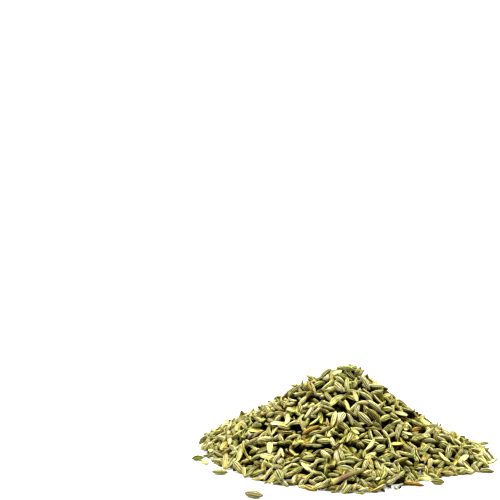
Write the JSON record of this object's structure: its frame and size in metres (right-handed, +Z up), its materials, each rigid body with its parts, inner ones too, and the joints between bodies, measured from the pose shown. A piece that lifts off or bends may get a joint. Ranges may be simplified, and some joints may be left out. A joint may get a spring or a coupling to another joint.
{
  "type": "heap of anise seed",
  "caption": "Small pointed heap of dried ridged spice seeds as poured on a table, with a bit of stalk in it and a few stray seeds beside it.",
  "frame": {"origin": "middle of the footprint of heap and strays, on the surface that they lie on", "axes": "+X along the heap's longest extent, towards its right as seen from the front; +Z up; the front looks towards -Y"},
  "size_m": [0.117, 0.1114, 0.036],
  "materials": {
    "seed": "dry, matt plant fruit: pale yellow-green ribs over olive furrows",
    "stray": "dry, matt plant fruit, olive green to tan",
    "stalk": "dry brown stalk with fine lengthwise fibres"
  },
  "bodies": {
    "root": {"seed_heap": "seed", "stalk_bit": "stalk", "stray_seed_1": "stray", "stray_seed_2": "stray", "stray_seed_3": "stray", "stray_seed_4": "stray", "stray_seed_5": "stray", "stray_seed_6": "stray", "stray_seed_7": "stray"}
  },
  "joints": []
}
